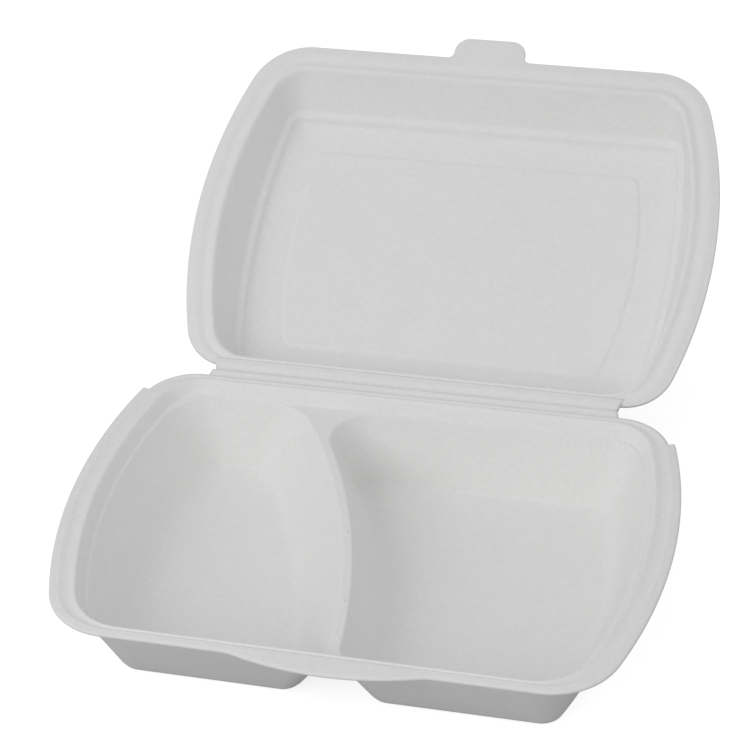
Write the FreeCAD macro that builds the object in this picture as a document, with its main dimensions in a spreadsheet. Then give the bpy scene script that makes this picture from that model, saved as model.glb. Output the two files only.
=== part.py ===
import FreeCAD, Part
import math
import os
import Sketcher
from FreeCAD import Placement, Rotation, Vector

# Hinged two-compartment food box of foam sheet, shown open.
# Frame: Z up, floor at Z = 0, X across the box, the hinge at +Y and the front lip at -Y.
# All lengths are in millimetres and all angles in degrees.

SIZES = {
    # sheet
    "base_sheet": 3.0,        # foam thickness of the tray
    "lid_sheet": 1.9,         # foam thickness of the lid
    "lip_sheet": 1.9,         # pressed foam of lip, tongue and tab
    "crease_sheet": 1.3,      # pressed foam of the hinge strip
    "foot_share": 0.6,        # how much of the sheet's thickness a wall keeps outside its floor edge
    # base rim, seen from above
    "base_height": 40.6,
    "rim_half_width": 116.0,
    "rim_front": -78.0,
    "rim_back": 74.0,
    "rim_side_radius": 200.0,
    "rim_side_mid": 3.0,      # y of the widest place
    "rim_front_corner": 25.0,
    "rim_back_corner": 22.0,
    "lip_width": 2.4,
    "lip_end": 61.0,          # y where the lip stops on both sides
    "tongue_mid": 4.0,
    "tongue_width": 74.0,
    "tongue_reach": 5.6,
    # channel pressed into the rim
    "channel_depth": 0.8,
    "channel_side_out": 1.6,
    "channel_side_in": 5.6,
    "channel_front_out": 0.6,
    "channel_front_in": 1.6,
    "channel_back_out": 1.0,
    "channel_back_in": 2.0,
    # collar that drops from the rim to the ledge around the compartments
    "ledge_drop": 6.0,
    "collar_top_side": 8.0,
    "collar_top_front": 2.6,
    "collar_top_back": 4.6,
    "collar_foot_side": 10.0,
    "collar_foot_front": 4.0,
    "collar_foot_back": 7.4,
    # compartments
    "mouth_side": 11.7,       # ledge edge, measured in from the rim
    "mouth_front": 4.2,
    "mouth_back": 8.0,
    "mouth_outer_corner": 21.0,
    "mouth_right_back_corner": 15.0,
    "mouth_divider_front": 10.0,
    "mouth_divider_back_left": 22.0,
    "mouth_divider_back_right": 15.0,
    "floor_half_width": 93.0,
    "floor_side_radius": 165.0,
    "floor_front": -58.0,
    "floor_back": 59.5,
    "floor_corner": 2.0,
    "floor_round": 3.0,       # between floor and walls, inside
    "foot_round": 5.0,        # around each pan's foot, outside
    # divider, an arc that bows toward the right compartment
    "divider_radius": 256.0,
    "divider_centre_x": -252.0,
    "divider_centre_y": -80.0,
    "divider_top": 4.0,
    "divider_left_run": 18.0,
    # its foot in the right compartment, a flatter arc
    "right_foot_radius": 924.0,
    "right_foot_centre_x": -901.0,
    "right_foot_centre_y": -222.7,
    # hinge: the crease line is the axis
    "crease_y": 78.2,
    "crease_drop": 1.0,       # axis below the rim
    "crease_gap": 0.3,
    "crease_clear": 0.25,     # axis above the strip
    "strip_half_width": 84.0,
    "strip_run": 3.0,         # flat pressed foam on each side of the crease
    "lid_open": 151.0,        # turned back from closed
    # lid, measured from the crease
    "lid_drop": 2.2,          # rim below the axis when laid flat open
    "lid_mid": 2.5,           # the lid lies a little right of the tray's middle
    "lid_half_width": 113.4,
    "lid_depth": 152.8,
    "lid_side_radius": 193.0,
    "lid_side_mid": 71.3,     # from the hinge edge of the rim
    "lid_front_corner": 26.0,
    "lid_back_corner": 20.0,
    "ridge_height": 0.6,
    "outer_ridge_out": 2.6,
    "outer_ridge_in": 4.8,
    "inner_ridge_out": 8.8,
    "inner_ridge_in": 11.4,
    "ridge_back_share": 0.35, # the hinge side is this much narrower
    "lid_wall_side": 12.0,
    "lid_wall_front": 12.0,
    "lid_wall_back": 5.0,
    "lid_wall_corner": 16.0,
    "lid_wall_depth": 19.0,
    "lid_wall_run": 10.0,
    "lid_wall_run_back": 3.5,
    "lid_step_corner": 6.0,
    "lid_step_width": 1.6,
    "lid_panel_depth": 23.5,
    "lid_panel_run": 3.6,
    "lid_top_round": 2.5,     # around the lid's flat top, outside
    "tab_mid": 6.0,
    "tab_width": 31.0,
    "tab_reach": 9.8,
    "tab_corner": 6.5,
}


# where the middle of a quarter round lies, measured in from its two straight edges
BEVEL_SHARE = 1 - math.cos(math.radians(45))


class Size:
    """A length together with the sheet expression that it comes from."""

    def __init__(self, value, text):
        self.value = value
        self.text = text

    def __add__(self, other):
        return Size(self.value + as_size(other).value, f"({self.text} + {as_size(other).text})")

    def __sub__(self, other):
        return Size(self.value - as_size(other).value, f"({self.text} - {as_size(other).text})")

    def __mul__(self, other):
        return Size(self.value * as_size(other).value, f"({self.text} * {as_size(other).text})")

    def __truediv__(self, other):
        return Size(self.value / as_size(other).value, f"({self.text} / {as_size(other).text})")

    def __neg__(self):
        return Size(-self.value, f"(0 - {self.text})")


def as_size(value):
    return value if isinstance(value, Size) else Size(float(value), repr(float(value)))


def size(name):
    return Size(SIZES[name], "Sizes." + name)


def write_sheet(doc):
    sheet = doc.addObject("Spreadsheet::Sheet", "Sizes")
    for row, (name, value) in enumerate(SIZES.items(), start=1):
        sheet.set(f"A{row}", name)
        sheet.set(f"B{row}", str(value))
        sheet.setAlias(f"B{row}", name)
    doc.recompute()


class Outline:
    """A rounded plan outline: straight front and back, circular sides, four corner radii.

    Each side is (centre x, centre y, radius, bulge): bulge is 1 where the outline lies inside
    that circle and -1 where it lies outside. Corners run front left, front right, back right,
    back left, and None leaves a sharp corner.
    """

    def __init__(self, front, back, left, right, corners):
        self.front, self.back, self.left, self.right, self.corners = front, back, left, right, corners

    def offset(self, out):
        out = as_size(out)
        grow = [None if corner is None else corner + out for corner in self.corners]
        left = (*self.left[:2], self.left[2] + out * self.left[3], self.left[3])
        right = (*self.right[:2], self.right[2] + out * self.right[3], self.right[3])
        return Outline(self.front - out, self.back + out, left, right, grow)

    def toward(self, other, share):
        """The outline at a share of the way to another one, on straight lines between the two."""
        def mix(here, there):
            return here + (there - here) * share

        left, right = ((*(mix(here[i], there[i]) for i in range(3)), here[3])
                       for here, there in ((self.left, other.left), (self.right, other.right)))
        corners = [mix(here, there) for here, there in zip(self.corners, other.corners)]
        return Outline(mix(self.front, other.front), mix(self.back, other.back), left, right, corners)


def mirrored_sides(middle, half_width, mid, radius):
    """Left and right side circles of an outline that is symmetric about X = middle."""
    inset = half_width - radius
    return (middle - inset, mid, radius, 1), (middle + inset, mid, radius, 1)


def on_circle(side, y, sign):
    """The x where a side's circle passes the height y; sign is -1 on the left side, 1 on the right."""
    cx, cy, radius, bulge = side
    reach = math.sqrt(radius.value ** 2 - (y - cy.value) ** 2)
    return cx.value + sign * bulge * reach


def corner_points(side, line_y, corner, sign, inward):
    """Corner centre and its two tangent points, on the straight line and on the side circle."""
    cx, cy, radius, bulge = side
    if corner is None:
        point = Vector(on_circle(side, line_y.value, sign), line_y.value, 0)
        return None, point, point
    y = line_y.value + inward * corner.value
    reach = radius.value - bulge * corner.value
    x = cx.value + sign * bulge * math.sqrt(reach ** 2 - (y - cy.value) ** 2)
    centre = Vector(x, y, 0)
    outward = (centre - Vector(cx.value, cy.value, 0)).normalize()
    return centre, Vector(x, line_y.value, 0), centre + outward * (bulge * corner.value)


def arc_between(centre, radius, start, end):
    """A counterclockwise arc from start to end."""
    circle = Part.Circle(centre, Vector(0, 0, 1), radius)
    first = math.atan2(start.y - centre.y, start.x - centre.x)
    last = math.atan2(end.y - centre.y, end.x - centre.x)
    if last < first:
        last += 2 * math.pi
    return Part.ArcOfCircle(circle, first, last)


class Tracer:
    """Adds the edges of an outline to a sketch, in order, and ties them to the sheet."""

    def __init__(self, sketch):
        self.sketch = sketch
        self.chain = []

    def bind(self, kind, *where, to):
        index = self.sketch.addConstraint(Sketcher.Constraint(kind, *where, to.value))
        self.sketch.setExpression(f"Constraints[{index}]", to.text)

    def line(self, start, end, y):
        edge = self.sketch.addGeometry(Part.LineSegment(start, end))
        self.sketch.addConstraint(Sketcher.Constraint("Horizontal", edge))
        self.bind("DistanceY", -1, 1, edge, 1, to=y)
        self.chain.append((edge, 1, 2))

    def corner(self, centre, radius, start, end):
        if centre is None:
            self.chain.append(None)
            return
        edge = self.sketch.addGeometry(arc_between(centre, radius.value, start, end))
        self.bind("Radius", edge, to=radius)
        self.chain.append((edge, 1, 2))

    def side(self, circle, start, end):
        cx, cy, radius, bulge = circle
        ends = (start, end) if bulge > 0 else (end, start)
        edge = self.sketch.addGeometry(arc_between(Vector(cx.value, cy.value, 0), radius.value, *ends))
        self.bind("DistanceX", -1, 1, edge, 3, to=cx)
        self.bind("DistanceY", -1, 1, edge, 3, to=cy)
        self.bind("Radius", edge, to=radius)
        self.chain.append((edge, 1, 2) if bulge > 0 else (edge, 2, 1))

    def close(self):
        """Tangent joints, and plain joints at sharp corners."""
        for place, here in enumerate(self.chain):
            after = self.chain[(place + 1) % len(self.chain)]
            if here is None:
                continue
            if after is None:
                after = self.chain[(place + 2) % len(self.chain)]
                kind = "Coincident"
            else:
                kind = "Tangent"
            self.sketch.addConstraint(Sketcher.Constraint(kind, here[0], here[2], after[0], after[1]))


def trace(sketch, outline):
    front_left, front_right, back_right, back_left = outline.corners
    fl, fl_line, fl_side = corner_points(outline.left, outline.front, front_left, -1, 1)
    fr, fr_line, fr_side = corner_points(outline.right, outline.front, front_right, 1, 1)
    br, br_line, br_side = corner_points(outline.right, outline.back, back_right, 1, -1)
    bl, bl_line, bl_side = corner_points(outline.left, outline.back, back_left, -1, -1)
    tracer = Tracer(sketch)
    tracer.line(fl_line, fr_line, outline.front)
    tracer.corner(fr, front_right, fr_line, fr_side)
    tracer.side(outline.right, fr_side, br_side)
    tracer.corner(br, back_right, br_side, br_line)
    tracer.line(br_line, bl_line, outline.back)
    tracer.corner(bl, back_left, bl_line, bl_side)
    tracer.side(outline.left, bl_side, fl_side)
    tracer.corner(fl, front_left, fl_side, fl_line)
    tracer.close()


def new_sketch(body, name, plane, height=None):
    """A sketch on one of the body's own origin planes, lifted by height along its normal."""
    sketch = body.newObject("Sketcher::SketchObject", name)
    base = next(item for item in body.Origin.OriginFeatures if item.Role == plane)
    sketch.AttachmentSupport = [(base, "")]
    sketch.MapMode = "FlatFace"
    if height is not None:
        sketch.AttachmentOffset = Placement(Vector(0, 0, height.value), Rotation())
        sketch.setExpression("AttachmentOffset.Base.z", height.text)
    return sketch


def outline_sketch(body, name, height, *outlines):
    sketch = new_sketch(body, name, "XY_Plane", height)
    for outline in outlines:
        trace(sketch, outline)
    return sketch


def pad(body, name, sketch, length, reversed_way=True):
    """Pads a flat sketch; the plain way is down from the sketch's plane."""
    feature = body.newObject("PartDesign::Pad", name)
    feature.Profile = sketch
    feature.Length = length.value
    feature.setExpression("Length", length.text)
    feature.Reversed = reversed_way
    return feature


def pocket(body, name, sketch, depth):
    feature = body.newObject("PartDesign::Pocket", name)
    feature.Profile = sketch
    feature.Length = depth.value
    feature.setExpression("Length", depth.text)
    return feature


def loft(body, kind, name, *sections):
    """A ruled loft through outlines given as (height, outline), from the top down."""
    sketches = []
    for number, (height, outline) in enumerate(sections):
        sketches.append(outline_sketch(body, f"{name}_{number}", height, outline))
    feature = body.newObject(f"PartDesign::{kind}Loft", name)
    feature.Profile = sketches[0]
    feature.Sections = [(sketch, [""]) for sketch in sketches[1:]]
    feature.Ruled = True
    return feature


def rounded_foot(top, foot, radius):
    """Sections of a wall that runs straight down from top to foot, its lower edge rounded in two bevels."""
    (high, mouth), (low, floor) = top, foot
    drop = high - low
    notch = radius * BEVEL_SHARE
    knee = mouth.toward(floor, as_size(1) - radius / drop)
    middle = mouth.toward(floor, as_size(1) - notch / drop).offset(-notch)
    return (high, mouth), (low + radius, knee), (low + notch, middle), (low, floor.offset(-radius))


def polygon(sketch, points):
    """A closed polygon whose corners are tied to the sheet, in the sketch's own x and y."""
    count = len(points)
    places = [Vector(x.value, y.value, 0) for x, y in points]
    for here, place in enumerate(places):
        sketch.addGeometry(Part.LineSegment(place, places[(here + 1) % count]))
    tracer = Tracer(sketch)
    for here, (x, y) in enumerate(points):
        sketch.addConstraint(Sketcher.Constraint("Coincident", here, 2, (here + 1) % count, 1))
        tracer.bind("DistanceX", -1, 1, here, 1, to=x)
        tracer.bind("DistanceY", -1, 1, here, 1, to=y)


def base_outline(side_in, front_in, back_in, corners):
    """An outline of the base, stated by how far it lies inside the rim."""
    left, right = mirrored_sides(as_size(0), size("rim_half_width") - side_in, size("rim_side_mid"),
                                 size("rim_side_radius") - side_in)
    return Outline(size("rim_front") + front_in, size("rim_back") - back_in, left, right, corners)


def base_ring(feature):
    """The outline of a rim feature named in the sheet, with corners that follow its insets."""
    side, front, back = (size(f"{feature[0]}_{where}{feature[1]}") for where in ("side", "front", "back"))
    front_corner = size("rim_front_corner") - front
    back_corner = size("rim_back_corner") - back
    return base_outline(side, front, back, [front_corner, front_corner, back_corner, back_corner])


def collar(level):
    side, front, back = (size(f"collar_{level}_{where}") for where in ("side", "front", "back"))
    front_corner = size("rim_front_corner") - front
    back_corner = size("rim_back_corner") - back
    return base_outline(side, front, back, [front_corner, front_corner, back_corner, back_corner])


def arc_side(name, out, bulge):
    """The side circle of a named arc, moved out by a width."""
    return (size(name + "_centre_x"), size(name + "_centre_y"), size(name + "_radius") + out, bulge)


def compartment(hand, level):
    """Inner outline of the left or right compartment at its mouth or at its floor."""
    half_top = size("divider_top") * 0.5
    if level == "mouth":
        whole = base_outline(size("mouth_side"), size("mouth_front"), size("mouth_back"), None)
        front, back, left, right = whole.front, whole.back, whole.left, whole.right
        outer, right_back, inner_front = (size(f"mouth_{where}")
                                          for where in ("outer_corner", "right_back_corner", "divider_front"))
        inner_back = size("mouth_divider_back_" + hand)
        left_divider = arc_side("divider", -half_top, 1)
        right_divider = arc_side("divider", half_top, -1)
    else:
        front, back = size("floor_front"), size("floor_back")
        left, right = mirrored_sides(as_size(0), size("floor_half_width"), size("rim_side_mid"),
                                     size("floor_side_radius"))
        outer = right_back = inner_front = inner_back = size("floor_corner") + size("floor_round")
        left_divider = arc_side("divider", -half_top - size("divider_left_run"), 1)
        right_divider = arc_side("right_foot", as_size(0), -1)
    if hand == "left":
        return Outline(front, back, left, left_divider, [outer, inner_front, inner_back, outer])
    return Outline(front, back, right_divider, right, [inner_front, outer, right_back, inner_back])


def build_base(doc):
    body = doc.addObject("PartDesign::Body", "base_tray")
    body.Label = "base_tray"
    top, sheet, lip = size("base_height"), size("base_sheet"), size("lip_sheet")
    ledge = top - size("ledge_drop")
    floor = as_size(0)
    rim = base_outline(as_size(0), as_size(0), as_size(0),
                       [size("rim_front_corner")] * 2 + [size("rim_back_corner")] * 2)

    pad(body, "rim_plate", outline_sketch(body, "rim_outline", top, rim), sheet)
    lip_outline = rim.offset(size("lip_width"))
    lip_outline.back = size("lip_end")
    lip_outline.corners[2:] = [None, None]
    pad(body, "lip", outline_sketch(body, "lip_outline", top, lip_outline), lip)
    tongue(body, top, lip)
    base_strip(body, top)
    loft(body, "Additive", "collar_outside",
         (top - sheet, collar("top").offset(sheet)), (ledge - sheet, collar("foot").offset(sheet * size("foot_share"))))
    for hand in ("left", "right"):
        loft(body, "Additive", f"pan_{hand}", *rounded_foot(
            (ledge, compartment(hand, "mouth").offset(sheet)),
            (floor, compartment(hand, "floor").offset(sheet * size("foot_share"))), size("foot_round")))
    loft(body, "Subtractive", "collar_inside", (top, collar("top")), (ledge, collar("foot")))
    for hand in ("left", "right"):
        loft(body, "Subtractive", f"well_{hand}", *rounded_foot(
            (ledge, compartment(hand, "mouth")),
            (floor + sheet, compartment(hand, "floor")), size("floor_round")))
    channel = outline_sketch(body, "channel_outline", top,
                             base_ring(("channel", "_out")), base_ring(("channel", "_in")))
    body.Tip = pocket(body, "channel", channel, size("channel_depth"))
    return body


def tongue(body, top, lip):
    """The round tongue in the middle of the front lip, reaching out to under the lid's tab."""
    sketch = new_sketch(body, "tongue_outline", "XY_Plane", top)
    half = size("tongue_width") * 0.5
    front = size("rim_front") - size("lip_width")
    left, right = size("tongue_mid") - half, size("tongue_mid") + half
    tip = front - size("tongue_reach")
    start, end = Vector(left.value, front.value, 0), Vector(right.value, front.value, 0)
    middle = Vector(size("tongue_mid").value, tip.value, 0)
    arc = sketch.addGeometry(Part.Arc(start, middle, end))
    chord = sketch.addGeometry(Part.LineSegment(end, start))
    sketch.addConstraint(Sketcher.Constraint("Coincident", arc, 2, chord, 1))
    sketch.addConstraint(Sketcher.Constraint("Coincident", arc, 1, chord, 2))
    tracer = Tracer(sketch)
    tracer.bind("DistanceX", -1, 1, arc, 1, to=left)
    tracer.bind("DistanceY", -1, 1, arc, 1, to=front)
    tracer.bind("DistanceX", -1, 1, arc, 2, to=right)
    sketch.addConstraint(Sketcher.Constraint("Horizontal", chord))
    low = sketch.addGeometry(Part.Point(middle))
    sketch.toggleConstruction(low)
    sketch.addConstraint(Sketcher.Constraint("PointOnObject", low, 1, arc))
    tracer.bind("DistanceX", -1, 1, low, 1, to=size("tongue_mid"))
    tracer.bind("DistanceY", -1, 1, low, 1, to=tip)
    pad(body, "tongue", sketch, lip)


def strip_pad(body, name, points):
    """Pads a section in the YZ plane to both sides of X = 0."""
    sketch = new_sketch(body, name + "_section", "YZ_Plane")
    polygon(sketch, points)
    feature = pad(body, name, sketch, size("strip_half_width") * 2, reversed_way=False)
    feature.Midplane = True
    return feature


def base_strip(body, top):
    """The base half of the pressed hinge strip, from the rim down to the crease."""
    face = size("crease_y") - size("crease_gap") * 0.5
    bend = size("crease_y") - size("strip_run")
    level = top - size("crease_drop") - size("crease_clear")
    thick = size("crease_sheet")
    root = size("rim_back") - thick
    strip_pad(body, "strip_base", [
        (root, top), (size("rim_back"), top), (bend, level), (face, level),
        (face, level - thick), (bend, level - thick), (root, top - size("base_sheet"))])


def lid_outline(side_in, front_in, back_in, front_corner, back_corner):
    """An outline of the lid, laid flat open with the crease on the X axis."""
    edge = size("strip_run")
    left, right = mirrored_sides(size("lid_mid"), size("lid_half_width") - side_in, edge + size("lid_side_mid"),
                                 size("lid_side_radius") - side_in)
    corners = [back_corner, back_corner, front_corner, front_corner]
    return Outline(edge + back_in, edge + size("lid_depth") - front_in, left, right, corners)


def lid_ring(name):
    """Outline of a ridge's edge; the hinge side of the rim is narrower than the other three."""
    inset = size(name)
    back = inset * size("ridge_back_share")
    return lid_outline(inset, inset, back, size("lid_front_corner") - inset, size("lid_back_corner") - back)


def lid_wall(inset, back_inset, corner):
    return lid_outline(size("lid_wall_side") + inset, size("lid_wall_front") + inset,
                       size("lid_wall_back") + back_inset, corner, corner)


def build_lid(doc):
    body = doc.addObject("PartDesign::Body", "lid")
    body.Label = "lid"
    sheet = size("lid_sheet")
    rim_level = -size("lid_drop")
    step_level = rim_level - size("lid_wall_depth")
    panel_level = rim_level - size("lid_panel_depth")
    none = as_size(0)
    step, run, run_back = size("lid_step_width"), size("lid_wall_run"), size("lid_wall_run_back")
    panel_run = size("lid_panel_run")
    step_corner = size("lid_step_corner")

    rim = lid_outline(none, none, none, size("lid_front_corner"), size("lid_back_corner"))
    mouth = lid_wall(none, none, size("lid_wall_corner"))
    foot = lid_wall(run, run_back, step_corner)
    shelf = lid_wall(run + step, run_back + step, step_corner)
    panel = lid_wall(run + step + panel_run, run_back + step + panel_run, step_corner)

    pad(body, "lid_rim", outline_sketch(body, "lid_rim_outline", rim_level, rim), sheet)
    pad(body, "lid_tab", tab_sketch(body, rim_level), size("lip_sheet"))
    lid_strip(body, rim_level)
    for ridge in ("outer_ridge", "inner_ridge"):
        ring = outline_sketch(body, ridge + "_outline", rim_level,
                              lid_ring(ridge + "_out"), lid_ring(ridge + "_in"))
        pad(body, ridge, ring, size("ridge_height"), reversed_way=False)
    loft(body, "Additive", "lid_outside", (rim_level, mouth.offset(sheet)), *rounded_foot(
        (step_level, foot.offset(sheet)),
        (panel_level - sheet, panel.offset(sheet * size("foot_share"))), size("lid_top_round")))
    loft(body, "Subtractive", "lid_inside",
         (rim_level, mouth), (step_level, foot))
    body.Tip = loft(body, "Subtractive", "lid_panel", (step_level, shelf), (panel_level, panel))

    crease = Vector(0, size("crease_y").value, size("base_height").value - size("crease_drop").value)
    body.Placement = Placement(crease, Rotation(Vector(1, 0, 0), 180 - size("lid_open").value))
    body.setExpression("Placement.Base.y", size("crease_y").text)
    body.setExpression("Placement.Base.z", (size("base_height") - size("crease_drop")).text)
    body.setExpression("Placement.Rotation.Angle", (as_size(180) - size("lid_open")).text)
    return body


def tab_sketch(body, level):
    """The lifting tab on the lid's front edge, with two rounded corners."""
    sketch = new_sketch(body, "tab_outline", "XY_Plane", level)
    half, corner = size("tab_width") * 0.5, size("tab_corner")
    root = size("strip_run") + size("lid_depth") - size("lid_sheet")
    tip = size("strip_run") + size("lid_depth") + size("tab_reach")
    left, right = size("tab_mid") - half, size("tab_mid") + half
    low_left, low_right = Vector(left.value, root.value, 0), Vector(right.value, root.value, 0)
    bend = tip.value - corner.value
    right_centre = Vector(right.value - corner.value, bend, 0)
    left_centre = Vector(left.value + corner.value, bend, 0)
    right_bend, left_bend = Vector(right.value, bend, 0), Vector(left.value, bend, 0)
    right_top, left_top = Vector(right_centre.x, tip.value, 0), Vector(left_centre.x, tip.value, 0)
    edges = [
        Part.LineSegment(low_left, low_right),
        Part.LineSegment(low_right, right_bend),
        arc_between(right_centre, corner.value, right_bend, right_top),
        Part.LineSegment(right_top, left_top),
        arc_between(left_centre, corner.value, left_top, left_bend),
        Part.LineSegment(left_bend, low_left),
    ]
    bottom, right_edge, right_arc, top_edge, left_arc, left_edge = [sketch.addGeometry(edge) for edge in edges]
    for first, then in ((right_edge, right_arc), (right_arc, top_edge), (top_edge, left_arc), (left_arc, left_edge)):
        sketch.addConstraint(Sketcher.Constraint("Tangent", first, 2, then, 1))
    sketch.addConstraint(Sketcher.Constraint("Coincident", bottom, 2, right_edge, 1))
    sketch.addConstraint(Sketcher.Constraint("Coincident", left_edge, 2, bottom, 1))
    tracer = Tracer(sketch)
    tracer.bind("DistanceX", -1, 1, bottom, 1, to=left)
    tracer.bind("DistanceY", -1, 1, bottom, 1, to=root)
    tracer.bind("DistanceX", -1, 1, bottom, 2, to=right)
    tracer.bind("DistanceY", -1, 1, bottom, 2, to=root)
    tracer.bind("DistanceY", -1, 1, top_edge, 1, to=tip)
    tracer.bind("Radius", right_arc, to=corner)
    tracer.bind("Radius", left_arc, to=corner)
    sketch.addConstraint(Sketcher.Constraint("Vertical", right_edge))
    sketch.addConstraint(Sketcher.Constraint("Vertical", left_edge))
    return sketch


def lid_strip(body, rim_level):
    """The lid's half of the pressed hinge strip."""
    face = size("crease_gap") * 0.5
    thick = size("crease_sheet")
    level = -size("crease_clear")
    edge = size("strip_run")
    under = rim_level - size("lid_sheet")
    strip_pad(body, "strip_lid", [
        (face, level), (edge - thick, level), (edge + thick, rim_level),
        (edge + thick, under), (edge, under), (edge - thick, level - thick), (face, level - thick)])


def check(doc, bodies):
    doc.recompute()
    for item in doc.Objects:
        if "Invalid" in item.State or "Error" in item.State:
            raise RuntimeError(f"{item.Label} failed: {item.State}")
    for body in bodies:
        if body.Shape.isNull() or not body.Shape.isValid() or len(body.Shape.Solids) != 1:
            raise RuntimeError(f"{body.Label} is not one valid solid")
        print(body.Label, "volume", round(body.Shape.Volume / 1000, 2), "cm3")


def main():
    doc = FreeCAD.newDocument("foam_box")
    write_sheet(doc)
    bodies = [build_base(doc), build_lid(doc)]
    check(doc, bodies)
    os.makedirs("parts", exist_ok=True)
    for body in bodies:
        body.Shape.exportStep(f"parts/{body.Label}.step")


main()
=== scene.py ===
import math

import bmesh
import bpy
import numpy as np
from mathutils import Matrix, Vector


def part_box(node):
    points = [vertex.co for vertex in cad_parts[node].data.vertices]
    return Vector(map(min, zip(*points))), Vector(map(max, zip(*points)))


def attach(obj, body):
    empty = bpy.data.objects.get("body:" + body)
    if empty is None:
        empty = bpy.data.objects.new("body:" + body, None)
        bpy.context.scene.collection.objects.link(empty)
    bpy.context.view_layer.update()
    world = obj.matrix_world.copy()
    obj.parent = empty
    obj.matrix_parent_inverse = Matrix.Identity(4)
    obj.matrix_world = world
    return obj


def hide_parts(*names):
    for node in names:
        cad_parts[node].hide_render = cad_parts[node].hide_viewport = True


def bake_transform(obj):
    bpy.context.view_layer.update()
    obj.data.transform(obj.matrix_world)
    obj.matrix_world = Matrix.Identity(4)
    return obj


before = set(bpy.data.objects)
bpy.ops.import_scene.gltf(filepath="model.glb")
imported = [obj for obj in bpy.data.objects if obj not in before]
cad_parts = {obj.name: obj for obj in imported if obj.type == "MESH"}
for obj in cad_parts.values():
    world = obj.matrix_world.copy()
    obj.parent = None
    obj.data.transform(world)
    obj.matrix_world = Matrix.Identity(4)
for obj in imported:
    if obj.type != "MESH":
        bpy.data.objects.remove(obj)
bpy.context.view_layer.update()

# Hinged two-compartment food box of foam sheet, shown open.
# Lengths of the shells are in millimetres, in the frame's axes, and become metres in their meshes.
MM = 0.001
ROUND_STEPS = 5           # facets across a rounded edge
SUPPORT = 0.5             # flat band kept beside a rounded edge
SUPPORT_SHARE = 0.3       # how much of a face such a band may take
REACH_SHARE = 0.49        # how much of a face a rounding may take
SMALLEST_CORNER = 0.4
CORNER_POINTS = 24
TINY = 1e-6               # keeps divisions by a length safe

BASE_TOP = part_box("base_tray")[1][2] / MM
BASE_SHEET = 3.0
LID_SHEET = 1.9
PRESSED_SHEET = 1.9
FOOT_SHARE = 0.6          # how far out a foot is moved for the sheet's thickness

# base rim
RIM_HALF_WIDTH = 116.0
RIM_FRONT, RIM_BACK = -78.0, 74.0
RIM_SIDE_RADIUS, RIM_SIDE_MID = 200.0, 3.0
RIM_FRONT_CORNER, RIM_BACK_CORNER = 25.0, 22.0
LIP_WIDTH = 2.4
LIP_END = 61.0                           # where the lip stops, towards the hinge
NOTCH_NEAR, NOTCH_CLEAR = 0.008, 0.035   # steps beside that stop, as shares of the corner
TONGUE_MID, TONGUE_WIDTH, TONGUE_REACH = 4.0, 74.0, 5.55
TONGUE_EASE = 0.5                        # how softly the tongue leaves the lip
LEDGE = BASE_TOP - 6.0
COLLAR_TOP_DROP = 0.25
GROOVE = BASE_TOP - 0.55                 # the groove along the rim's top
SEAM = BASE_TOP - 1.0                    # the rim's back edge, where the hinge strip starts

# insets from the rim at the sides, the front and the back
RIM_CREST_OUTER = (1.0, 0.6, 1.7)
GROOVE_OUTER = (3.0, 1.3, 2.7)
GROOVE_INNER = (5.1, 1.75, 3.1)
RIM_CREST_INNER = (6.9, 2.15, 3.6)
COLLAR_TOP = (8.0, 2.6, 4.6)
COLLAR_FOOT = (10.0, 4.0, 7.4)
LEDGE_EDGE = (10.5, 4.05, 7.55)
BRIM = (10.95, 4.12, 7.75)
MOUTH = (11.7, 4.2, 8.0)
COLLAR_UNDER = (8.4, 2.3, 5.2)
LEDGE_UNDER = (8.6, 2.38, 5.32)

# how far the roundings of the rim reach
CREST_ROUND, COLLAR_TOP_ROUND, COLLAR_FOOT_ROUND = 0.9, 2.6, 2.4
COLLAR_UNDER_ROUND, LEDGE_UNDER_ROUND = 1.2, 0.5

# the lip's edge: (out from the rim, drop, rounding) on top and (out from the rim, rounding) underneath
LIP_TOP = [(-0.3, 0.15, 0.4), (1.0, 0.2, 0.5), (LIP_WIDTH, 0.5, 0.9)]
LIP_UNDER = [(LIP_WIDTH, 0.8), (0.8, 0.5)]

# compartments
MOUTH_OUTER_CORNER, MOUTH_RIGHT_BACK_CORNER = 21.0, 15.0
DIVIDER_FRONT_CORNER = 10.0
DIVIDER_BACK_CORNER = {"left": 22.0, "right": 15.0}
DIVIDER_CENTRE, DIVIDER_RADIUS = (-252.0, -80.0), 256.0
DIVIDER_TOP, DIVIDER_LEFT_RUN, DIVIDER_RIGHT_RUN = 4.0, 18.0, 11.0
DIVIDER_BRIM = DIVIDER_TOP / 6           # from the divider's middle to each brim
FLOOR_HALF_WIDTH, FLOOR_SIDE_RADIUS = 93.0, 165.0
FLOOR_FRONT, FLOOR_BACK = -58.0, 59.5
FLOOR_CORNER = 5.0
MOUTH_ROUND = 1.3
FLOOR_ROUND = {"back": 1.3, "side": 9.0, "divider left": 4.0, "divider right": 5.5, "front": 3.4}
FLOOR_FILL_INSET = 9.0                   # where the flat fill of a floor begins

# the pans underneath
PAN_RIM_ROUND, PAN_FOOT_ROUND = 1.0, 6.5
PAN_RIM_OUT, PAN_FILL_INSET = 0.15, 14.0

# hinge
CREASE = Vector((0, 78.2, 39.6))
LID_OPEN = 151.0
LID_TURN = math.radians(180 - LID_OPEN)
STRIP_RUN = 3.0
STRIP_THICKNESS, STRIP_ROUND, STRIP_COLUMNS = 1.3, 0.7, 120
# across the strip: (y, height over the tray, half width)
STRIP_SECTION = [(72.4, -0.55, 85.6), (74.4, -1.2, 85.4), (77.0, -0.3, 84.4), (78.5, -1.45, 83.4),
                 (79.9, -1.45, 84.2), (82.0, -0.3, 85.0), (84.6, 0.1, 86.0)]

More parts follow.
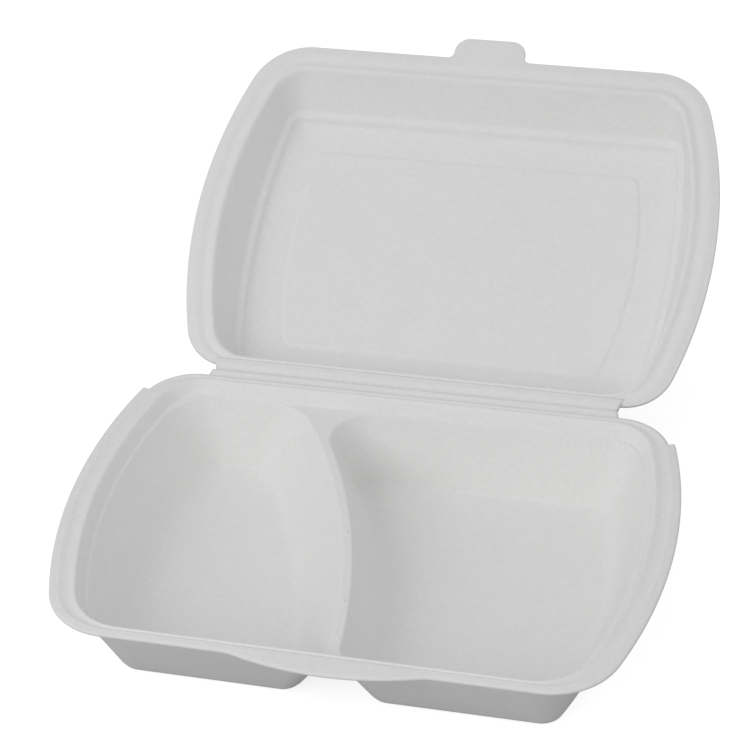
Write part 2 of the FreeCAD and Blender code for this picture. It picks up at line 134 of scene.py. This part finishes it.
# pressing marks on the divider: (degrees round its centre, out from its middle, length, width)
MARKS = [(30.6, -0.9, 1.8, 1.3), (17.1, 0.3, 2.6, 1.1), (8.5, 0.0, 2.6, 1.1), (4.2, 0.5, 1.6, 1.3)]
MARK_HEIGHT, MARK_SINK = 0.45, 0.05

# lid, laid flat open with the crease on its X axis
LID_RIM = -2.2
LID_MID, LID_HALF_WIDTH, LID_DEPTH = 2.9, 110.8, 152.8
LID_SIDE_RADIUS, LID_SIDE_MID = 193.0, 71.3
LID_FRONT_CORNER, LID_BACK_CORNER = 26.0, 20.0
RIDGE_BACK_SHARE = 0.35
LID_WALL = (12.0, 12.0, 5.0)
LID_WALL_CORNER = 16.0
LID_STEP = LID_RIM - 19.0
LID_STEP_WIDTH, LID_STEP_TILT, LID_STEP_ROUND = 2.6, 0.3, 1.2
LID_PANEL = LID_RIM - 23.5
# inside the step the panel is dished: (inset, height over the panel, rounding)
PANEL_DISH = [(8.0, 0.0, 2.6), (1.5, 1.2, 2.4)]
MOUTH_DROP, LID_MOUTH_ROUND, LID_MOUTH_UNDER_ROUND = 0.3, 1.5, 1.4
# ridge, groove and ridge of the rim, then its edge: (inset, height over the rim, rounding)
LID_RIM_RELIEF = [(10.6, 0.7, 1.2), (7.7, -0.65, 1.2), (4.2, 0.45, 1.4)]
LID_EDGE = [(1.2, -0.2, 0.4), (0.0, -0.4, 0.7)]
LID_EDGE_UNDER = [(0.0, 0.6), (1.2, 0.2)]    # (inset, rounding)
LID_RIM_UNDER, LID_RIM_UNDER_ROUND = 2.6, 0.8
LID_TOP_EDGE, LID_TOP_ROUND, LID_FILL_INSET = 3.6, 3.4, 10.0
LID_FOOT_MID, LID_FOOT_HALF_WIDTH, LID_FOOT_SIDE_RADIUS, LID_FOOT_CORNER = 4.2, 92.3, 330.0, 7.0
LID_FOOT_NEAR, LID_FOOT_FAR = 11.5, 133.4
FIELD_HALF_WIDTH, FIELD_SIDE_RADIUS, FIELD_CORNER = 75.2, 170.0, 4.0
FIELD_NEAR, FIELD_FAR, FIELD_RISE = 24.0, 117.0, 0.5
# the raised field's edge, from inside out: (out from its outline, height over the panel, rounding)
FIELD_EDGE = [(-4.5, FIELD_RISE - 0.2, 0.0), (-1.2, FIELD_RISE, 0.6), (0.0, -0.25, 0.5), (2.2, 0.0, 0.8)]
TAB_MID, TAB_WIDTH, TAB_REACH, TAB_CORNER, TAB_ROOT = 6.0, 31.0, 9.8, 6.5, 2.5
TAB_CORNER_POINTS = 13
LID_SKEW, LID_SKEW_MID = 0.018, 76.0     # the lid hangs a little askew

# looks: the frame's metres, and watts
FOAM_WHITE = (0.95, 0.95, 0.945)
GROUND_HALF_WIDTH, GROUND_LEVEL = 6.0, -0.0002
SKY = 0.525
KEY_PLACE, KEY_TARGET, KEY_SIZE, KEY_POWER = (-0.58, -1.0, 1.03), (0, 0.07, 0.03), 1.1, 6.1
CAMERA_PLACE, CAMERA_LENS, SENSOR = (0.20417, -0.67539, 0.66977), 117.46, 36.0
CAMERA_ANGLES = (16.17, 38.577, -4.2826)  # azimuth, elevation and roll in degrees


def even(count):
    return np.linspace(0, 1, count, endpoint=False)


class Spread:
    """How the points of a ring are spread along the eight stretches of an outline."""

    def __init__(self, front, side, back, front_corner=None, back_corner=None):
        self.front, self.side, self.back = front, side, back
        self.front_corner = even(CORNER_POINTS) if front_corner is None else front_corner
        self.back_corner = even(CORNER_POINTS) if back_corner is None else back_corner

    def backwards(self, shares):
        """The same spread when the stretch is walked from its other end."""
        return np.concatenate(([0.0], 1 - shares[:0:-1]))

    def stretches(self):
        turned = [self.backwards(shares) for shares in (self.back_corner, self.side, self.front_corner)]
        return (self.front, self.front_corner, self.side, self.back_corner, self.back, *turned)


class Outline:
    """A rounded plan outline: straight front and back, circular sides and four corner radii.

    Each side is (centre x, centre y, radius, bulge): bulge is 1 where the outline lies inside
    that circle and -1 where it lies outside. Corners run front left, front right, back right, back left.
    """

    def __init__(self, front, back, left, right, corners):
        self.front, self.back, self.left, self.right, self.corners = front, back, left, right, corners

    def offset(self, out):
        grow = [max(corner + out, SMALLEST_CORNER) for corner in self.corners]
        left = (*self.left[:2], self.left[2] + out * self.left[3], self.left[3])
        right = (*self.right[:2], self.right[2] + out * self.right[3], self.right[3])
        return Outline(self.front - out, self.back + out, left, right, grow)

    def toward(self, other, share):
        def mix(here, there):
            return here + (there - here) * share

        left = (*(mix(self.left[i], other.left[i]) for i in range(3)), self.left[3])
        right = (*(mix(self.right[i], other.right[i]) for i in range(3)), self.right[3])
        corners = [mix(here, there) for here, there in zip(self.corners, other.corners)]
        return Outline(mix(self.front, other.front), mix(self.back, other.back), left, right, corners)

    def corner(self, number):
        """Centre, radius and the direction in which the corner meets its side."""
        sign = -1 if number in (0, 3) else 1
        line, inward = (self.front, 1) if number < 2 else (self.back, -1)
        cx, cy, side_radius, bulge = self.left if sign < 0 else self.right
        radius = self.corners[number]
        y = line + inward * radius
        x = cx + sign * bulge * math.sqrt((side_radius - bulge * radius) ** 2 - (y - cy) ** 2)
        return np.array((x, y)), radius, math.atan2(bulge * (y - cy), bulge * (x - cx))

    def points(self, spread):
        corners = [self.corner(number) for number in range(4)]
        meets = [centre + radius * heading(turn) for centre, radius, turn in corners]
        (fl, fl_radius, fl_turn), (fr, fr_radius, fr_turn) = corners[:2]
        (br, br_radius, br_turn), (bl, bl_radius, bl_turn) = corners[2:]
        down, up = -math.pi / 2, math.pi / 2
        shares = spread.stretches()
        return np.concatenate((
            straight((fl[0], self.front), (fr[0], self.front), shares[0]),
            arc(fr, fr_radius, down, fr_turn, shares[1]),
            side(self.right, meets[1], meets[2], shares[2]),
            arc(br, br_radius, br_turn, up, shares[3]),
            straight((br[0], self.back), (bl[0], self.back), shares[4]),
            arc(bl, bl_radius, up, bl_turn, shares[5]),
            side(self.left, meets[3], meets[0], shares[6]),
            arc(fl, fl_radius, fl_turn, down, shares[7])))


def heading(turn):
    return np.array((math.cos(turn), math.sin(turn)))


def straight(start, end, shares):
    return np.outer(1 - shares, start) + np.outer(shares, end)


def arc(centre, radius, start, end, shares):
    """A counterclockwise arc."""
    turns = start + shares * ((end - start) % math.tau)
    return centre + radius * np.column_stack((np.cos(turns), np.sin(turns)))


def side(circle, start, end, shares):
    """Points along a side's circle, the short way round."""
    centre, radius = np.array(circle[:2]), circle[2]
    first = math.atan2(*(start - centre)[::-1])
    sweep = (math.atan2(*(end - centre)[::-1]) - first + math.pi) % math.tau - math.pi
    turns = first + shares * sweep
    return centre + radius * np.column_stack((np.cos(turns), np.sin(turns)))


def lifted(plan, level):
    return np.column_stack((plan, np.broadcast_to(level, len(plan))))


def support(start, end):
    """Two rings that keep a face flat between its roundings."""
    span = np.linalg.norm(end - start, axis=1, keepdims=True)
    share = np.minimum(SUPPORT / np.maximum(span, TINY), SUPPORT_SHARE)
    return [start + (end - start) * share, end - (end - start) * share]


def soften(controls):
    """Rings through a list of (ring, radius), each inner corner rounded by a short parabola."""
    rings = [controls[0][0]]
    last = controls[0][0]
    for (before, _), (here, radius), (after, _) in zip(controls, controls[1:], controls[2:]):
        ends = []
        for other in (before, after):
            length = np.linalg.norm(other - here, axis=1, keepdims=True)
            ends.append(here + (other - here) * np.minimum(radius / np.maximum(length, TINY), REACH_SHARE))
        rings += support(last, ends[0])
        for share in np.linspace(0, 1, ROUND_STEPS + 1):
            rings.append(ends[0] * (1 - share) ** 2 + here * 2 * share * (1 - share) + ends[1] * share ** 2)
        last = ends[1]
    rings += support(last, controls[-1][0])
    rings.append(controls[-1][0])
    return rings


class Shell:
    """A closed mesh made of skins of rings and flat fills between them."""

    def __init__(self):
        self.mesh = bmesh.new()

    def skin(self, rings):
        """Joins the rings by quads and returns the first and last loops of vertices."""
        loops = [[self.mesh.verts.new(point) for point in ring] for ring in rings]
        for low, high in zip(loops, loops[1:]):
            for here in range(len(low)):
                after = (here + 1) % len(low)
                self.mesh.faces.new((low[here], low[after], high[after], high[here]))
        return loops[0], loops[-1]

    def fill(self, *loops):
        edges = []
        for loop in loops:
            for here, vert in enumerate(loop):
                edges.append(self.mesh.edges.get((vert, loop[(here + 1) % len(loop)])))
        bmesh.ops.triangle_fill(self.mesh, edges=edges, normal=(0, 0, 1), use_beauty=True)

    def finish(self, name, material, matrix=None):
        bmesh.ops.recalc_face_normals(self.mesh, faces=self.mesh.faces)
        for face in self.mesh.faces:
            face.smooth = True
        if matrix is not None:
            self.mesh.transform(matrix)
        self.mesh.transform(Matrix.Scale(MM, 4))
        data = bpy.data.meshes.new(name)
        self.mesh.to_mesh(data)
        self.mesh.free()
        data.materials.append(material)
        piece = bpy.data.objects.new(name, data)
        bpy.context.scene.collection.objects.link(piece)
        return piece


def symmetric_sides(half_width, mid, radius, middle=0.0):
    """The circles of a left and a right side that mirror each other about the middle."""
    return (middle + radius - half_width, mid, radius, 1), (middle + half_width - radius, mid, radius, 1)


def base_outline(inset):
    """An outline of the base that lies inside the rim by (side, front, back)."""
    side_in, front_in, back_in = inset
    left, right = symmetric_sides(RIM_HALF_WIDTH - side_in, RIM_SIDE_MID, RIM_SIDE_RADIUS - side_in)
    front_corner, back_corner = RIM_FRONT_CORNER - front_in, RIM_BACK_CORNER - back_in
    return Outline(RIM_FRONT + front_in, RIM_BACK - back_in, left, right,
                   [front_corner, front_corner, back_corner, back_corner])


def notch_shares():
    """Spread of a back corner, crowded where the lip stops, and how many points come before the bare rim."""
    rim = base_outline((0, 0, 0))
    centre, radius, turn = rim.corner(2)
    stops = []
    for out in (LIP_WIDTH, 0):
        stops.append((math.asin((LIP_END - centre[1]) / (radius + out)) - turn) / (math.pi / 2 - turn))
    lip_stop, rim_start = stops
    lip = [0, lip_stop * 0.5, lip_stop - NOTCH_NEAR, lip_stop]
    clear = np.linspace(rim_start + NOTCH_CLEAR, 1, CORNER_POINTS - 2, endpoint=False)
    bare = [rim_start, rim_start + NOTCH_NEAR, *clear]
    return np.array(lip + bare), len(lip)


NOTCH, NOTCH_POINTS = notch_shares()
BASE_SPREAD = Spread(front=even(150), side=even(84), back=even(120), back_corner=NOTCH)


def lip_mask():
    """1 where the lip runs along the front and the sides, 0 along the back."""
    counts = [len(shares) for shares in BASE_SPREAD.stretches()]
    starts = np.concatenate(([0], np.cumsum(counts)))
    mask = np.ones(starts[-1])
    mask[starts[3] + NOTCH_POINTS:starts[5] + counts[5] - NOTCH_POINTS + 1] = 0
    return mask[:, None]


def lip_ring(out, level, back_level):
    """The rim's outer edge, out beyond the rim where the lip runs, with the tongue at the front."""
    mask = lip_mask()
    plain = base_outline((0, 0, 0)).offset(min(out, 0)).points(BASE_SPREAD)
    wide = base_outline((0, 0, 0)).offset(out).points(BASE_SPREAD)
    plan = plain * (1 - mask) + wide * mask
    inset = LIP_WIDTH - out
    radius = ((TONGUE_WIDTH / 2) ** 2 + TONGUE_REACH ** 2) / (2 * TONGUE_REACH)
    tip = RIM_FRONT - LIP_WIDTH - TONGUE_REACH
    count = len(BASE_SPREAD.front)
    x = plan[:count, 0] - TONGUE_MID
    bow = tip + radius - np.sqrt(np.maximum((radius - inset) ** 2 - x ** 2, 0))
    depth = plan[:count, 1] - bow
    plan[:count, 1] -= (depth + np.sqrt(depth ** 2 + TONGUE_EASE ** 2)) / 2
    return lifted(plan, (back_level + (level - back_level) * mask)[:, 0])


def compartment(hand, level):
    """Inner outline of a compartment at its brim, mouth or floor."""
    if level == "floor":
        left, right = symmetric_sides(FLOOR_HALF_WIDTH, RIM_SIDE_MID, FLOOR_SIDE_RADIUS)
        front, back = FLOOR_FRONT, FLOOR_BACK
        left_divider = (*DIVIDER_CENTRE, DIVIDER_RADIUS - DIVIDER_TOP / 2 - DIVIDER_LEFT_RUN, 1)
        right_divider = (*DIVIDER_CENTRE, DIVIDER_RADIUS + DIVIDER_TOP / 2 + DIVIDER_RIGHT_RUN, -1)
        outer = right_back = inner_front = inner_back = FLOOR_CORNER
    else:
        whole = base_outline(BRIM if level == "brim" else MOUTH)
        left, right, front, back = whole.left, whole.right, whole.front, whole.back
        out = DIVIDER_BRIM if level == "brim" else DIVIDER_TOP / 2
        left_divider = (*DIVIDER_CENTRE, DIVIDER_RADIUS - out, 1)
        right_divider = (*DIVIDER_CENTRE, DIVIDER_RADIUS + out, -1)
        outer, right_back, inner_front = MOUTH_OUTER_CORNER, MOUTH_RIGHT_BACK_CORNER, DIVIDER_FRONT_CORNER
        inner_back = DIVIDER_BACK_CORNER[hand]
    if hand == "left":
        return Outline(front, back, left, left_divider, [outer, inner_front, inner_back, outer])
    return Outline(front, back, right_divider, right, [inner_front, outer, right_back, inner_back])


WELL_SPREAD = Spread(front=even(60), side=even(70), back=even(60))


def floor_round(hand):
    """How far the rounding between wall and floor reaches, place by place along the floor's outline."""
    right, left = ("divider left", "side") if hand == "left" else ("side", "divider right")
    order = ("front", right, "back", left)
    reach = []
    for place, shares in enumerate(WELL_SPREAD.stretches()):
        here = FLOOR_ROUND[order[place // 2]]
        after = FLOOR_ROUND[order[(place // 2 + 1) % 4]]
        ease = (1 - np.cos(np.pi * shares)) / 2 if place % 2 else np.zeros(len(shares))
        reach.append(here + (after - here) * ease)
    return np.concatenate(reach)[:, None]


def build_tray(material):
    shell = Shell()
    under = LEDGE - BASE_SHEET

    def ring(inset, level, radius=0.0):
        return lifted(base_outline(inset).points(BASE_SPREAD), level), radius

    def well(rings):
        """Skins a compartment or a pan, closes its bottom and returns its upper loop."""
        upper, bottom = shell.skin(soften([(lifted(outline.points(WELL_SPREAD), level), radius)
                                           for outline, level, radius in rings]))
        shell.fill(bottom)
        return upper

    lip_under = BASE_TOP - PRESSED_SHEET
    inner, outer = shell.skin(soften([
        ring(LEDGE_EDGE, LEDGE),
        ring(COLLAR_FOOT, LEDGE, COLLAR_FOOT_ROUND),
        ring(COLLAR_TOP, BASE_TOP - COLLAR_TOP_DROP, COLLAR_TOP_ROUND),
        ring(RIM_CREST_INNER, BASE_TOP, CREST_ROUND),
        ring(GROOVE_INNER, GROOVE, CREST_ROUND),
        ring(GROOVE_OUTER, GROOVE, CREST_ROUND),
        ring(RIM_CREST_OUTER, BASE_TOP, CREST_ROUND),
        *((lip_ring(out, BASE_TOP - drop, SEAM), radius) for out, drop, radius in LIP_TOP),
        *((lip_ring(out, lip_under, lip_under), radius) for out, radius in LIP_UNDER),
        ring([value - BASE_SHEET for value in COLLAR_TOP], BASE_TOP - BASE_SHEET, COLLAR_UNDER_ROUND),
        ring(COLLAR_UNDER, under, LEDGE_UNDER_ROUND),
        ring(LEDGE_UNDER, under)]))
    brims = []
    outside = []
    for hand in ("left", "right"):
        mouth, floor = compartment(hand, "mouth"), compartment(hand, "floor")
        brims.append(well([
            (compartment(hand, "brim"), LEDGE, 0),
            (mouth, LEDGE, MOUTH_ROUND),
            (floor, BASE_SHEET, floor_round(hand)),
            (floor.offset(-FLOOR_FILL_INSET), BASE_SHEET, 0)]))
        wall_foot = floor.offset(BASE_SHEET * FOOT_SHARE)
        wall_top = mouth.offset(BASE_SHEET).toward(wall_foot, BASE_SHEET / LEDGE)
        outside.append(well([
            (wall_top.offset(PAN_RIM_OUT), under, 0),
            (wall_top, under, PAN_RIM_ROUND),
            (wall_foot, 0, PAN_FOOT_ROUND),
            (wall_foot.offset(-PAN_FILL_INSET), 0, 0)]))
    shell.fill(inner, *brims)
    shell.fill(outer, *outside)
    return shell.finish("tray_shell", material)


def build_marks(material):
    """The small raised marks that the press leaves on the divider's top."""
    shell = Shell()
    for angle, out, length, width in MARKS:
        turn = math.radians(angle)
        x, y = np.array(DIVIDER_CENTRE) + (DIVIDER_RADIUS + out) * heading(turn)
        place = Matrix.Translation((x, y, LEDGE - MARK_SINK)) @ Matrix.Rotation(turn, 4, "Z")
        shape = Matrix.Diagonal((width / 2, length / 2, MARK_HEIGHT, 1))
        bmesh.ops.create_uvsphere(shell.mesh, u_segments=24, v_segments=14, radius=1, matrix=place @ shape)
    return shell.finish("divider_marks", material)


def lid_outline(inset, front_corner, back_corner):
    """An outline of the lid that lies inside its rim by (side, front, back)."""
    side_in, front_in, back_in = inset
    left, right = symmetric_sides(LID_HALF_WIDTH - side_in, STRIP_RUN + LID_SIDE_MID,
                                  LID_SIDE_RADIUS - side_in, LID_MID)
    return Outline(STRIP_RUN + back_in, STRIP_RUN + LID_DEPTH - front_in, left, right,
                   [back_corner, back_corner, front_corner, front_corner])


def lid_ring(inset):
    back = inset * RIDGE_BACK_SHARE
    return lid_outline((inset, inset, back), LID_FRONT_CORNER - inset, LID_BACK_CORNER - back)


def lid_inner(near, far, half_width, side_radius, corner):
    """An outline on the lid's panel, which lies a little right of its rim."""
    left, right = symmetric_sides(half_width, STRIP_RUN + LID_SIDE_MID, side_radius, LID_FOOT_MID)
    return Outline(near, far, left, right, [corner] * 4)


def tab_middle():
    """The tab's middle before the lid is skewed."""
    return TAB_MID - LID_SKEW * (STRIP_RUN + LID_DEPTH + TAB_REACH / 2 - LID_SKEW_MID)


def tab_shares():
    """Spread of the lid's front edge, crowded along the tab, with the tab's first and last place."""
    rim = lid_ring(0)
    right, left = rim.corner(2)[0][0], rim.corner(3)[0][0]
    middle, half = tab_middle(), TAB_WIDTH / 2 + TAB_ROOT
    first = (right - middle - half) / (right - left)
    last = (right - middle + half) / (right - left)
    before, along, beyond = 48, 72, 60     # points before the tab, along it and beyond it
    shares = np.concatenate((np.linspace(0, first, before, endpoint=False),
                             np.linspace(first, last, along, endpoint=False),
                             np.linspace(last, 1, beyond, endpoint=False)))
    return shares, before, before + along


TAB_SPREAD, TAB_FIRST, TAB_LAST = tab_shares()
LID_SPREAD = Spread(front=even(120), side=even(84), back=TAB_SPREAD)


def tab_path(inset, edge):
    """The tab's edge from its right root to its left root, moved inwards by inset."""
    half, corner, root = TAB_WIDTH / 2 - inset, TAB_CORNER - inset, TAB_ROOT + inset
    tip = STRIP_RUN + LID_DEPTH + TAB_REACH - inset
    turn = even(TAB_CORNER_POINTS) * math.pi / 2
    root_arc = np.column_stack((half + root - root * np.sin(turn), edge + root - root * np.cos(turn)))
    top_arc = np.column_stack((half - corner + corner * np.cos(turn), tip - corner + corner * np.sin(turn)))
    right = np.concatenate((root_arc, [(half, edge + root)], top_arc, [(half - corner, tip)]))
    return np.concatenate((right, right[::-1] * (-1, 1))) + (tab_middle(), 0)


def rim_ring(inset, level):
    """The lid's rim with the tab on its front edge."""
    plan = lid_ring(inset).points(LID_SPREAD)
    start = len(np.concatenate(LID_SPREAD.stretches()[:4]))
    path = tab_path(inset, STRIP_RUN + LID_DEPTH - inset)
    steps = np.concatenate(([0], np.cumsum(np.linalg.norm(np.diff(path, axis=0), axis=1))))
    places = np.linspace(0, steps[-1], TAB_LAST - TAB_FIRST + 1)
    for axis in (0, 1):
        plan[start + TAB_FIRST:start + TAB_LAST + 1, axis] = np.interp(places, steps, path[:, axis])
    return lifted(plan, level)


def build_lid(material):
    shell = Shell()

    def ring(outline, level, radius=0.0):
        return lifted(outline.points(LID_SPREAD), level), radius

    mouth = lid_outline(LID_WALL, LID_WALL_CORNER, LID_WALL_CORNER)
    foot = lid_inner(LID_FOOT_NEAR, LID_FOOT_FAR, LID_FOOT_HALF_WIDTH, LID_FOOT_SIDE_RADIUS, LID_FOOT_CORNER)
    shelf = foot.offset(-LID_STEP_WIDTH)
    field = lid_inner(FIELD_NEAR, FIELD_FAR, FIELD_HALF_WIDTH, FIELD_SIDE_RADIUS, FIELD_CORNER)
    top = LID_PANEL - LID_SHEET
    edge_under = LID_RIM - PRESSED_SHEET
    middle, bottom = shell.skin(soften([
        *(ring(field.offset(out), LID_PANEL + rise, radius) for out, rise, radius in FIELD_EDGE),
        *(ring(shelf.offset(-inset), LID_PANEL + rise, radius) for inset, rise, radius in PANEL_DISH),
        ring(shelf, LID_STEP, LID_STEP_ROUND),
        ring(foot, LID_STEP + LID_STEP_TILT, LID_STEP_ROUND),
        ring(mouth, LID_RIM - MOUTH_DROP, LID_MOUTH_ROUND),
        *(ring(lid_ring(inset), LID_RIM + rise, radius) for inset, rise, radius in LID_RIM_RELIEF),
        *((rim_ring(inset, LID_RIM + rise), radius) for inset, rise, radius in LID_EDGE),
        *((rim_ring(inset, edge_under), radius) for inset, radius in LID_EDGE_UNDER),
        ring(lid_ring(LID_RIM_UNDER), edge_under, LID_RIM_UNDER_ROUND),
        ring(mouth.offset(LID_SHEET), edge_under, LID_MOUTH_UNDER_ROUND),
        ring(foot.offset(LID_SHEET), LID_STEP, LID_STEP_ROUND),
        ring(shelf.offset(LID_SHEET * FOOT_SHARE - LID_TOP_EDGE), top, LID_TOP_ROUND),
        ring(shelf.offset(-LID_FILL_INSET), top)]))
    shell.fill(middle)
    shell.fill(bottom)
    lean = Matrix.Identity(4)
    lean[0][1], lean[0][3] = LID_SKEW, -LID_SKEW * LID_SKEW_MID
    return shell.finish("lid_shell", material,
                        Matrix.Translation(CREASE) @ Matrix.Rotation(LID_TURN, 4, "X") @ lean)


def build_strip(material):
    """The pressed hinge strip between tray and lid: parallel creases with soft ridges between them."""
    shell = Shell()
    mesh = shell.mesh
    top = soften([(np.array([(0, y, BASE_TOP + height)]), STRIP_ROUND) for y, height, _ in STRIP_SECTION])
    widths = np.interp([ring[0][1] for ring in top], [y for y, _, _ in STRIP_SECTION],
                       [half_width for _, _, half_width in STRIP_SECTION])
    shares = np.linspace(-1, 1, STRIP_COLUMNS)
    sheets = []
    for drop in (0, STRIP_THICKNESS):
        sheets.append([[mesh.verts.new((share * width, ring[0][1], ring[0][2] - drop)) for share in shares]
                       for ring, width in zip(top, widths)])
    upper, lower = sheets
    for here in range(len(top) - 1):
        for step in range(STRIP_COLUMNS - 1):
            for sheet in sheets:
                mesh.faces.new((sheet[here][step], sheet[here][step + 1],
                                sheet[here + 1][step + 1], sheet[here + 1][step]))
        for step in (0, STRIP_COLUMNS - 1):
            mesh.faces.new((upper[here][step], upper[here + 1][step],
                            lower[here + 1][step], lower[here][step]))
    for row in (0, len(top) - 1):
        for step in range(STRIP_COLUMNS - 1):
            mesh.faces.new((upper[row][step], upper[row][step + 1], lower[row][step + 1], lower[row][step]))
    return shell.finish("hinge_strip", material)


def foam(name, colour):
    """White foam sheet: satin skin over fine pressed cells, with soft shifts of tone."""
    material = bpy.data.materials.new(name)
    material.use_nodes = True
    nodes, links = material.node_tree.nodes, material.node_tree.links
    shader = nodes["Principled BSDF"]
    shader.inputs["Specular IOR Level"].default_value = 0.3
    place = nodes.new("ShaderNodeTexCoord")

    def texture(kind, scale):
        node = nodes.new(kind)
        node.inputs["Scale"].default_value = scale
        links.new(place.outputs["Object"], node.inputs["Vector"])
        return node

    cells = texture("ShaderNodeTexVoronoi", 620.0)
    grain = texture("ShaderNodeTexNoise", 1500.0)
    grain.inputs["Detail"].default_value = 2.0
    clouds = texture("ShaderNodeTexNoise", 60.0)
    clouds.inputs["Detail"].default_value = 3.0

    tone = nodes.new("ShaderNodeMix")
    tone.data_type = "RGBA"
    tone.inputs["A"].default_value = (*(value * 0.965 for value in colour), 1)
    tone.inputs["B"].default_value = (*colour, 1)
    links.new(clouds.outputs["Fac"], tone.inputs["Factor"])
    fleck = nodes.new("ShaderNodeMix")
    fleck.data_type = "RGBA"
    fleck.blend_type = "MULTIPLY"
    fleck.inputs["Factor"].default_value = 0.05
    links.new(tone.outputs["Result"], fleck.inputs["A"])
    links.new(cells.outputs["Distance"], fleck.inputs["B"])
    links.new(fleck.outputs["Result"], shader.inputs["Base Color"])

    rough = nodes.new("ShaderNodeMapRange")
    rough.inputs["To Min"].default_value = 0.42
    rough.inputs["To Max"].default_value = 0.62
    links.new(clouds.outputs["Fac"], rough.inputs["Value"])
    links.new(rough.outputs["Result"], shader.inputs["Roughness"])

    height = nodes.new("ShaderNodeMath")
    height.operation = "MULTIPLY_ADD"
    height.inputs[1].default_value = 0.35
    links.new(grain.outputs["Fac"], height.inputs[0])
    links.new(cells.outputs["Distance"], height.inputs[2])
    bump = nodes.new("ShaderNodeBump")
    bump.inputs["Strength"].default_value = 0.05
    bump.inputs["Distance"].default_value = 0.0004
    links.new(height.outputs["Value"], bump.inputs["Height"])
    links.new(bump.outputs["Normal"], shader.inputs["Normal"])
    return material


def floor_material():
    """A pale floor that keeps a soft shadow and shows white to the camera."""
    material = bpy.data.materials.new("pale_floor")
    material.use_nodes = True
    nodes, links = material.node_tree.nodes, material.node_tree.links
    shader = nodes["Principled BSDF"]
    shader.inputs["Base Color"].default_value = (0.5, 0.5, 0.5, 1)
    shader.inputs["Roughness"].default_value = 0.9
    shader.inputs["Specular IOR Level"].default_value = 0.0
    glow = nodes.new("ShaderNodeEmission")
    glow.inputs["Color"].default_value = (1, 1, 1, 1)
    ray = nodes.new("ShaderNodeLightPath")
    strength = nodes.new("ShaderNodeMath")
    strength.operation = "MULTIPLY"
    strength.inputs[1].default_value = 0.8
    links.new(ray.outputs["Is Camera Ray"], strength.inputs[0])
    links.new(strength.outputs["Value"], glow.inputs["Strength"])
    total = nodes.new("ShaderNodeAddShader")
    links.new(shader.outputs["BSDF"], total.inputs[0])
    links.new(glow.outputs["Emission"], total.inputs[1])
    links.new(total.outputs["Shader"], nodes["Material Output"].inputs["Surface"])
    return material


def build_floor():
    half = GROUND_HALF_WIDTH
    mesh = bmesh.new()
    mesh.faces.new([mesh.verts.new((x * half, y * half, GROUND_LEVEL))
                    for x, y in ((-1, -1), (1, -1), (1, 1), (-1, 1))])
    data = bpy.data.meshes.new("floor")
    mesh.to_mesh(data)
    mesh.free()
    data.materials.append(floor_material())
    floor = bpy.data.objects.new("floor", data)
    bpy.context.scene.collection.objects.link(floor)


def build_world(strength):
    world = bpy.data.worlds.new("studio")
    bpy.context.scene.world = world
    world.use_nodes = True
    nodes, links = world.node_tree.nodes, world.node_tree.links
    background = nodes["Background"]
    background.inputs["Color"].default_value = (1, 1, 1, 1)
    ray = nodes.new("ShaderNodeLightPath")
    level = nodes.new("ShaderNodeMapRange")
    level.inputs["To Min"].default_value = strength
    level.inputs["To Max"].default_value = 1.0
    links.new(ray.outputs["Is Camera Ray"], level.inputs["Value"])
    links.new(level.outputs["Result"], background.inputs["Strength"])


def lamp(name, place, target, size, power):
    data = bpy.data.lights.new(name, "AREA")
    data.size = size
    data.energy = power
    item = bpy.data.objects.new(name, data)
    item.location = place
    item.rotation_euler = (Vector(target) - Vector(place)).to_track_quat("-Z", "Y").to_euler()
    bpy.context.scene.collection.objects.link(item)


def build_camera():
    azimuth, elevation, roll = (math.radians(value) for value in CAMERA_ANGLES)
    back = Vector((math.sin(azimuth) * math.cos(elevation), -math.cos(azimuth) * math.cos(elevation),
                   math.sin(elevation)))
    level = (-back).cross(Vector((0, 0, 1))).normalized()
    upright = level.cross(-back)
    right = level * math.cos(roll) + upright * math.sin(roll)
    above = upright * math.cos(roll) - level * math.sin(roll)
    data = bpy.data.cameras.new("camera")
    data.sensor_width = SENSOR
    data.lens = CAMERA_LENS
    camera = bpy.data.objects.new("camera", data)
    turn = Matrix((right, above, back)).transposed().to_4x4()
    camera.matrix_world = Matrix.Translation(CAMERA_PLACE) @ turn
    bpy.context.scene.collection.objects.link(camera)
    bpy.context.scene.camera = camera


base_foam = foam("base_foam", FOAM_WHITE)
lid_foam = foam("lid_foam", FOAM_WHITE)

tray = build_tray(base_foam)
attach(tray, "tray")
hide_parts("base_tray")

marks = build_marks(base_foam)
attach(marks, "tray")

lid = build_lid(lid_foam)
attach(lid, "lid")
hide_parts("lid")

strip = build_strip(base_foam)
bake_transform(strip)

build_floor()
build_world(SKY)
lamp("key", KEY_PLACE, KEY_TARGET, KEY_SIZE, KEY_POWER)
build_camera()
bpy.context.scene.view_settings.view_transform = "Standard"
